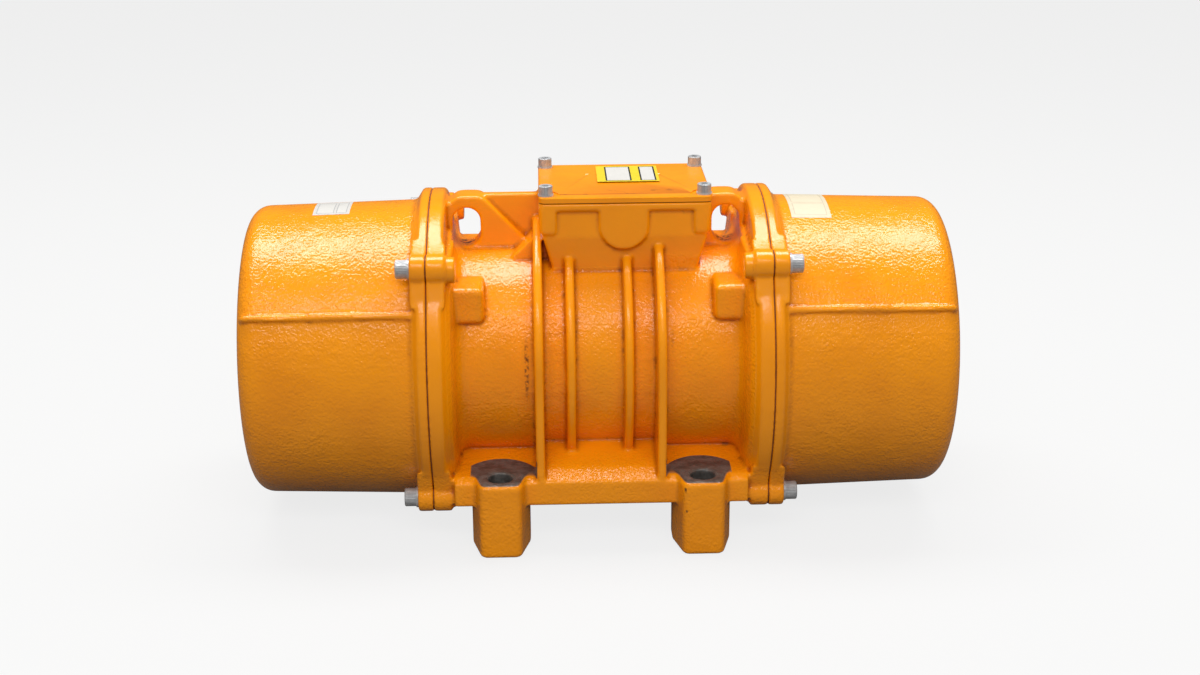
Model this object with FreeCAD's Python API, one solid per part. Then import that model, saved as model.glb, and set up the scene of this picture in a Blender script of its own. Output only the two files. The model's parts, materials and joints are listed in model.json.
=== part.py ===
"""Vibration motor: a cast casing on four feet holds the stator and two bearing
housings. The rotor shaft carries a fixed and an adjustable eccentric weight at
each end, and a cast cover closes each end.

Millimetres, +Z up. X runs along the shaft, -Y is the front, and the origin is the
centre of the foot pattern on the mounting plane.
"""

import FreeCAD, Part
import math
import os

V = FreeCAD.Vector

# Driving dimensions -------------------------------------------------------------
AXIS_Z = 118.4            # shaft axis above the mounting plane
HALF_LENGTH = 245.6       # mounting centre to the outside of an end cover
FOOT_X, FOOT_Y = 70.0, 95.0           # foot holes, from the centre
FOOT_HOLE_R = 8.5
FOOT_HEIGHT = 54.0
FOOT_FRONT, FOOT_BACK = 111.0, 70.0   # outer and inner ends of a foot, along Y
FOOT_NOSE, FOOT_HALF = 13.8, 20.25    # half widths at the nose and at the hole
SPOTFACE_R, SPOTFACE_Y = 26.0, 89.5
SPOTFACE_TOP = 65.0       # the cutter clears the rib beside the seat up to here

BARREL_R = 77.0
STATOR_BORE_R = 69.0
CASING_FACE = 116.3       # joint face of the casing flange, from the centre
FLANGE_R = 114.5
FLANGE_RIM = 9.0
HOUSING_SEAT, HOUSING_R = 106.0, 92.0   # face and rim that locate a bearing housing
HOUSING_SCREW_R, HOUSING_PITCH_R = 3.0, 80.0
HOUSING_ANGLES = range(0, 360, 60)
HUB_OUT_R, CAP_PITCH_R = 60.0, 55.0
SHACKLE_RELIEF_X = 105.5  # the flange is thinner than its root beside the lug

BOLT_CIRCLE_R = 117.3
LOBE_R = 10.0
LOBE_ANGLES = (45, 135, 225, 315)
COVER_SCREW_R = 4.0
COVER_HEAD_SEAT, COVER_WASHER = 127.6, 1.4
PARTING_ANGLE = 60        # of the mould line on a cover, from straight up

COVER_R_FOOT, COVER_R_END = 106.3, 103.0
COVER_WALL = 4.5
COVER_EDGE_R = 13.0
GASKET = 0.6

OUTER_RIB_X, OUTER_RIB_R = 42.0, 98.0
INNER_RIB_X, INNER_RIB_R = 20.0, 89.0
RIB_THICK, RIB_EDGE = 6.0, 1.5

BEAM_Y, BEAM_LOW, BEAM_WALL = 98.5, 33.5, 9.0
BEAM_END = 101.5          # half length of a shelf, into the roots of the flanges

BOX_X, BOX_HALF_X, BOX_HALF_Y = 18.9, 59.5, 48.0
BOX_TOP = 235.4
BOX_BAND = 230.5          # underside of the flat band round the box mouth
BOX_WAIST = 212.0         # the walls slope in below this height
BOX_WALL_SET = 2.5        # how far the wall panels sit behind the band
BOX_CORNER_R = 5.0
CHAMBER_FLOOR = 203.0
COLUMN = 11.5             # width of a corner column that takes a lid screw
LID_THICK = 4.0
LID_SCREW_X, LID_SCREW_Y = 54.45, 40.8
LID_SCREW_R, LID_WASHER = 3.0, 1.0
LID_PAD_R = 8.5           # raised arc on the lid beside a front screw
DIMPLES = ((-5.8, 17.2), (45.5, 16.6))

ENTRY_X, ENTRY_Z, ENTRY_R = 17.95, 219.0, 10.0
ENTRY_PAD_R = 16.5
GLAND_BORE_R, GLAND_FLATS = 6.0, 24.0

BOARD_X, BOARD_HALF_X, BOARD_HALF_Y = 12.0, 30.0, 20.0
BOARD_Z, BOARD_THICK = 207.0, 5.0
BOARD_SCREW_X = (BOARD_X - 26.0, BOARD_X + 26.0)
STUD_X, STUD_Y, STUD_R = (-14.0, 0.0, 14.0), (-11.0, 11.0), 2.5
EARTH_PLACE = (BOARD_X, -33.0)

LUG_HALF, LUG_WEB_HALF = 11.0, 4.0
EYE_X, EYE_Z = 91.5, 210.0
EYE_HALF_X, EYE_HALF_Z = 9.75, 13.75

SHAFT_CORE_R, SHAFT_SHOULDER_R = 27.0, 25.0
BEARING_SEAT_R, WEIGHT_SEAT_R = 22.5, 20.0
BEARING_X = (88.0, 113.0)
BEARING_OUT_R = 50.0
ROLLER_PITCH_R, ROLLER_R, ROLLERS = 36.3, 6.75, 12
RACE_GAP, SEAL_R = 0.3, 28.5
CORE_HALF, ROTOR_BORE_R, AIR_GAP = 45.0, 45.0, 0.8
WINDING_END, WINDING_R = 68.0, (48.0, 66.0)
FIXED_WEIGHT_X = (126.0, 161.0)
LOOSE_WEIGHT_X = (163.0, 198.0)
WEIGHT_R, HUB_R = 90.0, 33.0
KEY_X, KEY_HALF, KEY_LOW, KEY_HIGH = (129.0, 158.0), 6.0, 15.0, 23.0
CLAMP_Z, CLAMP_R = AXIS_Z + 40.0, 5.0
DISC_X, DISC_R = (199.5, 201.0), 46.0
CIRCLIP_X, CIRCLIP_R = (202.0, 204.0), 24.5
SHAFT_END = 208.0

FIT = 0.05                # radial clearance of a located or screwed piece


# Drawing helpers ----------------------------------------------------------------
def rounded_wire(corners, place):
    """Closed wire through (a, b, radius) corners, each rounded by its radius."""
    points = [V(a, b, 0) for a, b, _ in corners]
    bends = []
    for i, (_, _, radius) in enumerate(corners):
        here = points[i]
        if not radius:
            bends.append((here, None, here))
            continue
        back = (points[i - 1] - here).normalize()
        ahead = (points[(i + 1) % len(points)] - here).normalize()
        half = back.getAngle(ahead) / 2
        reach = radius / math.tan(half)
        centre = here + (back + ahead).normalize() * (radius / math.sin(half))
        middle = centre + (here - centre).normalize() * radius
        bends.append((here + back * reach, middle, here + ahead * reach))
    edges = []
    for i, (start, middle, end) in enumerate(bends):
        before = bends[i - 1][2]
        if before.distanceToPoint(start) > 1e-6:
            edges.append(Part.makeLine(place(before), place(start)))
        if middle:
            edges.append(Part.Arc(place(start), place(middle), place(end)).toShape())
    return Part.Wire(edges)


def square(corners):
    """Corners with no rounding."""
    return [(a, b, 0) for a, b in corners]


def across(x):
    """Place (y, z) outlines on the plane at x."""
    return lambda p: V(x, p.x, p.y)


def side_on(y):
    """Place (x, z) outlines on the plane at y."""
    return lambda p: V(p.x, y, p.y)


def plan(z):
    """Place (x, y) outlines on the plane at z."""
    return lambda p: V(p.x, p.y, z)


def prism(corners, place, run):
    return Part.Face(rounded_wire(corners, place)).extrude(run)


def turned(corners):
    """Revolve (x, radius) corners about the shaft axis."""
    face = Part.Face(rounded_wire(corners, lambda p: V(p.x, 0, AXIS_Z + p.y)))
    return face.revolve(V(0, 0, AXIS_Z), V(1, 0, 0), 360)


def rod_x(x0, x1, radius, y=0.0, z=AXIS_Z):
    return Part.makeCylinder(radius, x1 - x0, V(x0, y, z), V(1, 0, 0))


def rod_y(y0, y1, radius, x, z):
    return Part.makeCylinder(radius, y1 - y0, V(x, y0, z), V(0, 1, 0))


def rod_z(z0, z1, radius, x, y):
    return Part.makeCylinder(radius, z1 - z0, V(x, y, z0), V(0, 0, 1))


def ring_x(x0, x1, inner, outer):
    return rod_x(x0, x1, outer).cut(rod_x(x0 - 1, x1 + 1, inner))


def block(x0, x1, y0, y1, z0, z1):
    return Part.makeBox(x1 - x0, y1 - y0, z1 - z0, V(x0, y0, z0))


def turn(shape, degrees):
    """A copy turned about the shaft axis."""
    copy = shape.copy()
    copy.rotate(V(0, 0, AXIS_Z), V(1, 0, 0), degrees)
    return copy


def mirror_x(shape):
    return shape.mirror(V(0, 0, 0), V(1, 0, 0))


def mirror_y(shape):
    return shape.mirror(V(0, 0, 0), V(0, 1, 0))


def four_ways(shape):
    """A shape with its mirror images in X and in Y."""
    pair = [shape, mirror_x(shape)]
    return pair + [mirror_y(s) for s in pair]


def fuse(first, *rest):
    shapes = [s for item in rest for s in (item if isinstance(item, list) else [item])]
    return first.multiFuse(shapes).removeSplitter()


def cut(shape, *tools):
    flat = [t for item in tools for t in (item if isinstance(item, list) else [item])]
    return shape.cut(Part.makeCompound(flat))


def hexagon_z(z0, z1, across_flats, x, y):
    radius = across_flats / math.sqrt(3)
    corners = [
        (x + radius * math.cos(math.radians(60 * i)),
         y + radius * math.sin(math.radians(60 * i)))
        for i in range(6)
    ]
    return prism(square(corners), plan(z0), V(0, 0, z1 - z0))


def pick_edges(shape, choose):
    """Edges that choose() takes by their midpoint and end-to-end vector."""
    picked = []
    for edge in shape.Edges:
        middle = edge.valueAt((edge.FirstParameter + edge.LastParameter) / 2)
        ends = edge.valueAt(edge.LastParameter) - edge.valueAt(edge.FirstParameter)
        if choose(middle, ends):
            picked.append(edge)
    return picked


def soften(shape, radius, choose):
    return shape.makeFillet(radius, pick_edges(shape, choose))


def chamfer(shape, size, choose):
    return shape.makeChamfer(size, pick_edges(shape, choose))


def plain_screw_z(head_base, shank, radius, x, y, head_height):
    """Screw that points down, its round head standing on head_base."""
    head = rod_z(head_base, head_base + head_height, 1.6 * radius, x, y)
    return fuse(head, rod_z(head_base - shank, head_base, radius - FIT, x, y))


def socket_screw_z(head_base, shank, radius, x, y, head_height):
    """Screw with a chamfered head and a hexagon socket."""
    top = head_base + head_height
    screw = plain_screw_z(head_base, shank, radius, x, y, head_height)
    screw = chamfer(screw, 0.15 * radius, lambda m, _: m.z > top - 0.1)
    return cut(screw, hexagon_z(top - 0.55 * head_height, top + 1, 1.5 * radius, x, y))


def lay_down(shape):
    """Turn a shape built along Z at the origin so that its top points to +X."""
    copy = shape.copy()
    copy.rotate(V(0, 0, 0), V(0, 1, 0), 90)
    return copy


def at_bolt(shape, x, radius, degrees):
    """Move an X-pointing shape from the origin to a bolt position on the +X side."""
    angle = math.radians(degrees)
    copy = shape.copy()
    copy.translate(V(x, radius * math.cos(angle), AXIS_Z + radius * math.sin(angle)))
    return copy


# Casing -------------------------------------------------------------------------
def bolt_lobe(x0, x1, degrees):
    """Ear of a flange round one cover screw, blended into the round rim."""
    reach = 27.0
    root = math.sqrt(FLANGE_R**2 - reach**2) - 1.0
    corners = [(root, reach), (BOLT_CIRCLE_R, LOBE_R), (BOLT_CIRCLE_R, -LOBE_R),
               (root, -reach), (root - 8.0, 0)]
    place = lambda p: V(x0, p.x, AXIS_Z + p.y)
    web = prism(square(corners), place, V(x1 - x0, 0, 0))
    ear = rod_x(x0, x1, LOBE_R, BOLT_CIRCLE_R)
    return turn(web.fuse(ear), degrees)


def barrel_and_flanges():
    rim_back = CASING_FACE - FLANGE_RIM
    half = [(101.0, 104.0, 3.0), (rim_back, FLANGE_R, 2.0), (CASING_FACE, FLANGE_R, 0)]
    right = [(98.0, BARREL_R, 9.0)] + half + [(CASING_FACE, 0, 0)]
    left = [(-x, radius, bend) for x, radius, bend in reversed(right)]
    shape = turned(left + right)
    lobes = [bolt_lobe(104.0, CASING_FACE, a) for a in LOBE_ANGLES]
    bosses = [turn(rod_x(97.0, 104.0, LOBE_R - 1, BOLT_CIRCLE_R - 2), a) for a in LOBE_ANGLES]
    ears = lobes + bosses
    return fuse(shape, ears, [mirror_x(s) for s in ears])


def ribs():
    half = RIB_THICK / 2
    outer_top = rod_x(OUTER_RIB_X - half, OUTER_RIB_X + half, OUTER_RIB_R)
    outer_low = block(OUTER_RIB_X - half, OUTER_RIB_X + half,
                      -OUTER_RIB_R, OUTER_RIB_R, BEAM_LOW + 2, AXIS_Z)
    keep = block(0, 100, -OUTER_RIB_R, OUTER_RIB_R, BEAM_LOW + 2, AXIS_Z + OUTER_RIB_R)
    outer = outer_top.fuse(outer_low).common(keep).removeSplitter()
    outer = chamfer(outer, RIB_EDGE, lambda m, _: abs(abs(m.x - OUTER_RIB_X) - half) < 0.01
                    and math.hypot(m.y, max(m.z - AXIS_Z, 0)) > OUTER_RIB_R - 1)
    inner = rod_x(INNER_RIB_X - half, INNER_RIB_X + half, INNER_RIB_R)
    inner = chamfer(inner, RIB_EDGE, lambda m, _: True).common(keep)
    return [outer, inner, mirror_x(outer), mirror_x(inner)]


def shelf(x0, x1, top):
    """One bay of the side beam: a top surface, and a downturned wall in front."""
    lip = [(-BEAM_Y + BEAM_WALL, BEAM_LOW, 2), (-BEAM_Y, BEAM_LOW, 2)]
    under = [(-38.0, 47.0, 0), (-BEAM_Y + BEAM_WALL, 43.5, 3)]
    return prism(top + under + lip, across(x0), V(x1 - x0, 0, 0))


def base_shelves():
    """Low shelves beside the flanges, and a steeper one between the outer ribs."""
    low = [(-BEAM_Y, 50.5, 2), (-91.0, 53.3, 6), (-70.0, 54.0, 0), (-45.0, 56.5, 0),
           (-38.0, 56.5, 0)]
    steep = [(-BEAM_Y, 51.0, 1.5), (-87.0, 57.0, 7), (-57.0, 65.0, 0), (-48.0, 65.0, 0)]
    front = [shelf(-BEAM_END, -OUTER_RIB_X, low), shelf(-OUTER_RIB_X, OUTER_RIB_X, steep),
             shelf(OUTER_RIB_X, BEAM_END, low)]
    return front + [mirror_y(s) for s in front]


def foot():
    corners = [(-FOOT_HALF, -FOOT_BACK, 4), (-FOOT_HALF, -86.0, 6),
               (-FOOT_NOSE, -FOOT_FRONT, 5), (FOOT_NOSE, -FOOT_FRONT, 5),
               (FOOT_HALF, -86.0, 6), (FOOT_HALF, -FOOT_BACK, 4)]
    pad = prism(corners, plan(0), V(0, 0, FOOT_HEIGHT))
    pad = soften(pad, 3.5, lambda m, _: m.z > FOOT_HEIGHT - 0.1 and m.y < -FOOT_BACK - 1)
    pad = chamfer(pad, 1.5, lambda m, _: m.z < 0.1 and m.y < -FOOT_BACK - 1)
    pad.translate(V(FOOT_X, 0, 0))
    return pad


def lifting_lug():
    """Plate between the flange and the terminal box, thick round the eye."""
    eye = [(106.5, 190.0, 0), (106.5, 225.5, 0), (97.0, 232.3, 9), (81.0, 232.3, 10),
           (49.0, 200.0, 0), (49.0, 188.0, 0)]
    web = [(90.0, 188.0, 0), (90.0, 232.0, 0), (30.0, 232.0, 0), (30.0, 188.0, 0)]
    thick = prism(eye, side_on(-LUG_HALF), V(0, 2 * LUG_HALF, 0))
    thick = soften(thick, 2.0, lambda m, e: abs(abs(m.y) - LUG_HALF) < 0.01
                   and m.z > 201 and m.x < 106.4)
    thin = prism(web, side_on(-LUG_WEB_HALF), V(0, 2 * LUG_WEB_HALF, 0))
    return fuse(thick, thin)


def lug_gusset():
    """Sloping web that carries the left lug up to the corner of the terminal box."""
    corners = [(-60.0, 188.0, 0), (-60.0, 192.0, 6), (-40.0, 211.0, 0), (-30.0, 211.0, 0),
               (-30.0, 188.0, 0)]
    return prism(corners, side_on(-28.0), V(0, 56.0, 0))


def shackle_relief():
    """Cut in the back of a flange beside the lug, down to a nearly level ledge."""
    corners = [(-LUG_HALF, 209.5, 0), (-62.0, 202.5, 3), (-67.0, 240.0, 0), (-LUG_HALF, 240.0, 0)]
    return prism(corners, across(80.0), V(SHACKLE_RELIEF_X - 80.0, 0, 0))


def lug_eye():
    side, end = EYE_HALF_X, EYE_HALF_Z
    corners = [(EYE_X - side, EYE_Z - end, 9.5), (EYE_X + side, EYE_Z - end, 9.5),
               (EYE_X + side, EYE_Z + end, 9.5), (EYE_X - side, EYE_Z + end, 9.5)]
    return prism(corners, side_on(-30), V(0, 60, 0))


def shoulder_boss():
    """Square casting boss beside a flange, high on the shoulder of the barrel."""
    boss = block(79.0, 102.0, -72.0, -30.0, 158.0, 183.0)
    return soften(boss, 4.0, lambda m, e: m.x < 101 and (m.y < -71.9 or m.x < 79.1))


def box_plate(z0, z1, inset, bend):
    x, y = BOX_HALF_X - inset, BOX_HALF_Y - inset
    corners = [(BOX_X - x, -y, bend), (BOX_X + x, -y, bend),
               (BOX_X + x, y, bend), (BOX_X - x, y, bend)]
    return prism(corners, plan(z0), V(0, 0, z1 - z0))


def box_rect(z, inset):
    x, y = BOX_HALF_X - inset, BOX_HALF_Y - inset
    return Part.makePolygon([V(BOX_X - x, -y, z), V(BOX_X + x, -y, z), V(BOX_X + x, y, z),
                             V(BOX_X - x, y, z), V(BOX_X - x, -y, z)])


def entry_boss():
    """Round-bottomed pad on the front wall, where a cable entry can be drilled."""
    radius = ENTRY_PAD_R
    corners = [(ENTRY_X - radius, ENTRY_Z - radius, radius - 0.1),
               (ENTRY_X + radius, ENTRY_Z - radius, radius - 0.1),
               (ENTRY_X + radius, BOX_BAND + 1, 0), (ENTRY_X - radius, BOX_BAND + 1, 0)]
    return prism(corners, side_on(-BOX_HALF_Y), V(0, 20, 0))


def screw_columns():
    """Corner columns that take the lid screws, rounded at their lower ends."""
    shapes = []
    for sx in (-1, 1):
        for sy in (-1, 1):
            x = BOX_X + sx * (BOX_HALF_X - COLUMN / 2)
            y = sy * (BOX_HALF_Y - COLUMN / 2)
            post = block(x - COLUMN / 2, x + COLUMN / 2, y - COLUMN / 2, y + COLUMN / 2,
                         BOX_WAIST, BOX_BAND + 1)
            shapes.append(soften(post, 4.5, lambda m, e, x=x, y=y: (
                m.z < BOX_WAIST + 0.1 or (abs(e.z) > 1 and (m.x - x) * sx > 0
                                          and (m.y - y) * sy > 0))))
    return shapes


def terminal_box():
    band = box_plate(BOX_BAND, BOX_TOP, 0, BOX_CORNER_R)
    walls = box_plate(BOX_WAIST - 1, BOX_BAND + 1, BOX_WALL_SET, 4)
    neck = Part.makeLoft([box_rect(BOX_WAIST - 1, BOX_WALL_SET), box_rect(186.0, 9.0),
                          box_rect(160.0, 9.0)], True, True)
    pad = entry_boss()
    return fuse(band, walls, neck, pad, mirror_y(pad), screw_columns())


def terminal_chamber():
    low, top = CHAMBER_FLOOR, BOX_TOP + 1
    x, y = BOX_HALF_X, BOX_HALF_Y
    wide = block(BOX_X - x + 13.5, BOX_X + x - 13.5, -y + 7, y - 7, low, top)
    long = block(BOX_X - x + 6.5, BOX_X + x - 6.5, -y + 14.5, y - 14.5, low, top)
    passage = rod_z(AXIS_Z + 60, low + 1, 9.0, 57.0, 0)
    return [wide, long, passage]


def lid_screw_places():
    return [(BOX_X + sx * LID_SCREW_X, sy * LID_SCREW_Y) for sx in (-1, 1) for sy in (-1, 1)]


def casing():
    drum = cut(barrel_and_flanges(), four_ways(shackle_relief()))
    shape = fuse(drum, ribs(), base_shelves(), four_ways(foot()), four_ways(shoulder_boss()),
                 lifting_lug(), mirror_x(lifting_lug()), lug_gusset(), terminal_box())
    spot = rod_z(FOOT_HEIGHT, SPOTFACE_TOP, SPOTFACE_R, FOOT_X, -SPOTFACE_Y)
    hole = rod_z(-1, FOOT_HEIGHT + 1, FOOT_HOLE_R, FOOT_X, -FOOT_Y)
    screw_hole = rod_x(102.0, CASING_FACE + 1, COVER_SCREW_R, BOLT_CIRCLE_R)
    screw_holes = [turn(screw_hole, a) for a in LOBE_ANGLES]
    housing_hole = rod_x(99.0, HOUSING_SEAT + 1, HOUSING_SCREW_R, HOUSING_PITCH_R)
    housing_holes = [turn(housing_hole, a) for a in HOUSING_ANGLES]
    recess = rod_x(HOUSING_SEAT, CASING_FACE + 1, HOUSING_R)
    mouth = rod_x(CORE_HALF + 1, HOUSING_SEAT + 1, 71.0)
    ends = screw_holes + housing_holes + [recess, mouth]
    eye = lug_eye()
    lid_holes = [rod_z(BOX_TOP - 16, BOX_TOP + 1, LID_SCREW_R, x, y)
                 for x, y in lid_screw_places()]
    entry = rod_y(30.0, BOX_HALF_Y + 1, ENTRY_R, ENTRY_X, ENTRY_Z)
    board_holes = [rod_z(CHAMBER_FLOOR - 6, CHAMBER_FLOOR + 1, 2.0, x, 0) for x in BOARD_SCREW_X]
    earth_hole = rod_z(CHAMBER_FLOOR - 6, CHAMBER_FLOOR + 1, 2.5, *EARTH_PLACE)
    bore = rod_x(-CORE_HALF - 2, CORE_HALF + 2, STATOR_BORE_R)
    return cut(shape, four_ways(spot), four_ways(hole), ends, [mirror_x(s) for s in ends],
               eye, mirror_x(eye), terminal_chamber(), lid_holes, entry, board_holes,
               earth_hole, bore)


# Terminal box fittings -----------------------------------------------------------
def lid_gasket():
    outer = box_plate(BOX_TOP, BOX_TOP + GASKET, 0.8, 4.2)
    inner = box_plate(BOX_TOP - 1, BOX_TOP + 2, 14.5, 2)
    return cut(outer, inner, [rod_z(BOX_TOP - 1, BOX_TOP + 2, LID_SCREW_R + 0.2, x, y)
                              for x, y in lid_screw_places()])


def lid_arcs(top):
    """Quarter rings raised beside the two front screws, on their inner sides."""
    arcs = []
    for x, y in lid_screw_places():
        if y > 0:
            continue
        side = 1 if x < BOX_X else -1
        ring = rod_z(top - 1, top + 0.8, LID_PAD_R + 1.2, x, y)
        ring = ring.cut(rod_z(top - 2, top + 2, LID_PAD_R, x, y))
        reach = sorted((x + 2 * side, x + 12 * side))
        arcs.append(ring.common(block(*reach, y, y + 12, top - 1, top + 2)))
    return arcs


def lid():
    base = BOX_TOP + GASKET
    top = base + LID_THICK
    plate = chamfer(box_plate(base, top, 0, BOX_CORNER_R), 0.8, lambda m, _: m.z > top - 0.1)
    holes = [rod_z(base - 1, top + 1, LID_SCREW_R + 0.2, x, y) for x, y in lid_screw_places()]
    dimples = [Part.makeSphere(3.0, V(x, y, top + 2.2)) for x, y in DIMPLES]
    return cut(fuse(plate, lid_arcs(top)), holes, dimples)


def lid_screws():
    seat = BOX_TOP + GASKET + LID_THICK + LID_WASHER
    return [socket_screw_z(seat, 19.0, LID_SCREW_R, x, y, 6.0) for x, y in lid_screw_places()]


def lid_washers():
    seat = BOX_TOP + GASKET + LID_THICK
    return [rod_z(seat, seat + LID_WASHER, 5.4, x, y)
            .cut(rod_z(seat - 1, seat + 2, LID_SCREW_R + 0.1, x, y))
            for x, y in lid_screw_places()]


def stud_places():
    return [(BOARD_X + x, y) for x in STUD_X for y in STUD_Y]


def terminal_board():
    plate = block(BOARD_X - BOARD_HALF_X, BOARD_X + BOARD_HALF_X, -BOARD_HALF_Y, BOARD_HALF_Y,
                  BOARD_Z, BOARD_Z + BOARD_THICK)
    pillars = [rod_z(CHAMBER_FLOOR, BOARD_Z, 5.0, x, 0) for x in BOARD_SCREW_X]
    barriers = [block(BOARD_X + x - 1, BOARD_X + x + 1, -BOARD_HALF_Y, BOARD_HALF_Y,
                      BOARD_Z + BOARD_THICK, BOARD_Z + BOARD_THICK + 7) for x in (-7.0, 7.0)]
    shape = fuse(plate, pillars, barriers)
    holes = [rod_z(BOARD_Z - 1, BOARD_Z + 6, STUD_R, x, y) for x, y in stud_places()]
    screws = [rod_z(CHAMBER_FLOOR - 1, BOARD_Z + 6, 2.1, x, 0) for x in BOARD_SCREW_X]
    return cut(shape, holes, screws)


def terminal_studs():
    return [rod_z(BOARD_Z - 2.5, BOARD_Z + 19, STUD_R - FIT, x, y) for x, y in stud_places()]


def terminal_nuts():
    low = BOARD_Z + BOARD_THICK + 1.2
    return [hexagon_z(low, low + 4, 8.0, x, y).cut(rod_z(low - 1, low + 5, STUD_R, x, y))
            for x, y in stud_places()]


def terminal_links():
    """Brass straps that join each pair of studs."""
    low = BOARD_Z + BOARD_THICK
    links = []
    for x in STUD_X:
        strap = block(BOARD_X + x - 4.5, BOARD_X + x + 4.5, -16, 16, low, low + 1.2)
        holes = [rod_z(low - 1, low + 3, STUD_R, BOARD_X + x, y) for y in STUD_Y]
        links.append(cut(strap, holes))
    return links


def board_screws():
    return [plain_screw_z(BOARD_Z + BOARD_THICK, 14.0, 2.0, x, 0, 3.0)
            for x in BOARD_SCREW_X]


def earth_screw():
    return plain_screw_z(CHAMBER_FLOOR, 5.5, 2.5, *EARTH_PLACE, 4.0)


# Cable gland on the rear wall ----------------------------------------------------
def hexagon_y(y0, y1, across_flats):
    shape = hexagon_z(0, y1 - y0, across_flats, 0, 0)
    shape.rotate(V(0, 0, 0), V(1, 0, 0), -90)
    shape.translate(V(ENTRY_X, y0, ENTRY_Z))
    return shape


def gland_body():
    wall = BOX_HALF_Y
    shape = fuse(hexagon_y(wall, wall + 7, GLAND_FLATS),
                 rod_y(wall - 9, wall, ENTRY_R - FIT, ENTRY_X, ENTRY_Z),
                 rod_y(wall + 7, wall + 15, 10.2, ENTRY_X, ENTRY_Z))
    return cut(shape, rod_y(wall - 10, wall + 5, 7.0, ENTRY_X, ENTRY_Z),
               rod_y(wall + 4.9, wall + 16, 8.6, ENTRY_X, ENTRY_Z))


def gland_nut():
    wall = BOX_HALF_Y
    shape = hexagon_y(wall + 8, wall + 21, GLAND_FLATS)
    dome = rod_y(wall + 8, wall + 24, 11.0, ENTRY_X, ENTRY_Z)
    dome = soften(dome, 3.0, lambda m, _: m.y > wall + 23.9)
    return cut(fuse(shape, dome), rod_y(wall + 7, wall + 15.5, 10.3, ENTRY_X, ENTRY_Z),
               rod_y(wall + 15, wall + 25, 8.0, ENTRY_X, ENTRY_Z))


def gland_seal():
    wall = BOX_HALF_Y
    body = fuse(rod_y(wall + 5, wall + 15, 8.5, ENTRY_X, ENTRY_Z),
                rod_y(wall + 15, wall + 21, 7.9, ENTRY_X, ENTRY_Z))
    return cut(body, rod_y(wall + 4, wall + 22, GLAND_BORE_R, ENTRY_X, ENTRY_Z))


# End covers and their fastenings (built for the +X end) ---------------------------
def cover_gasket():
    ring = ring_x(CASING_FACE, CASING_FACE + GASKET, 102.0, FLANGE_R - 0.8)
    ears = [turn(rod_x(CASING_FACE, CASING_FACE + GASKET, LOBE_R - 0.8, BOLT_CIRCLE_R), a)
            for a in LOBE_ANGLES]
    holes = [turn(rod_x(CASING_FACE - 1, CASING_FACE + 2, 4.5, BOLT_CIRCLE_R), a)
             for a in LOBE_ANGLES]
    return cut(fuse(ring, ears), holes, rod_x(CASING_FACE - 1, CASING_FACE + 2, 102.0))


def parting_rib():
    """Raised casting line along the cover, at the joint of its mould."""
    corners = [(120.0, 104.0), (120.0, 109.3), (240.0, 106.2), (243.5, 101.0), (240.0, 100.5)]
    place = lambda p: V(p.x, 2.0, AXIS_Z + p.y)
    fin = prism(square(corners), place, V(0, -4, 0))
    return [turn(fin, PARTING_ANGLE), turn(fin, PARTING_ANGLE + 180)]


def end_cover():
    face = CASING_FACE + GASKET
    outside = turned([(face, 0, 0), (face, FLANGE_R, 0), (122.5, FLANGE_R, 1.5),
                      (127.5, COVER_R_FOOT, 4), (HALF_LENGTH, COVER_R_END, COVER_EDGE_R),
                      (HALF_LENGTH, 0, 0)])
    bottom, side = HALF_LENGTH - COVER_WALL, COVER_R_END - COVER_WALL
    hollow = turned(square([(face - 1, 0), (face - 1, COVER_R_FOOT - COVER_WALL),
                            (bottom - 6, side), (bottom, side - 6), (bottom, 0)]))
    lobes = [bolt_lobe(face, COVER_HEAD_SEAT, a) for a in LOBE_ANGLES]
    holes = [turn(rod_x(face - 1, COVER_HEAD_SEAT + 1, 4.5, BOLT_CIRCLE_R), a)
             for a in LOBE_ANGLES]
    return cut(fuse(outside, lobes, parting_rib()), hollow, holes)


def cover_screws():
    screw = lay_down(socket_screw_z(0, 24.0, COVER_SCREW_R, 0, 0, 8.0))
    seat = COVER_HEAD_SEAT + COVER_WASHER
    return [at_bolt(screw, seat, BOLT_CIRCLE_R, a) for a in LOBE_ANGLES]


def cover_washers():
    disc = rod_z(0, COVER_WASHER, 7.2, 0, 0)
    washer = lay_down(disc.cut(rod_z(-1, 3, COVER_SCREW_R + 0.1, 0, 0)))
    return [at_bolt(washer, COVER_HEAD_SEAT, BOLT_CIRCLE_R, a) for a in LOBE_ANGLES]


# Bearings (built for the +X end) --------------------------------------------------
def bearing_housing():
    hub, lip = HUB_OUT_R, 32.0
    low, high = BEARING_X
    shape = turned(square([(low - 4, lip), (low - 4, hub), (HOUSING_SEAT, hub),
                           (HOUSING_SEAT, HOUSING_R - FIT), (CASING_FACE - 0.3, HOUSING_R - FIT),
                           (CASING_FACE - 0.3, hub), (high + 5, hub), (high + 5, BEARING_OUT_R),
                           (low, BEARING_OUT_R), (low, lip)]))
    hole = rod_x(HOUSING_SEAT - 1, CASING_FACE, HOUSING_SCREW_R + 0.2, HOUSING_PITCH_R)
    holes = [turn(hole, a) for a in HOUSING_ANGLES]
    taps = [turn(rod_x(high - 6, high + 6, 2.5, CAP_PITCH_R), a) for a in LOBE_ANGLES]
    return cut(shape, holes, taps)


def housing_screws():
    screw = lay_down(plain_screw_z(0, 16.0, HOUSING_SCREW_R, 0, 0, 6.0))
    return [at_bolt(screw, CASING_FACE - 0.3, HOUSING_PITCH_R, a) for a in HOUSING_ANGLES]


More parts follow.
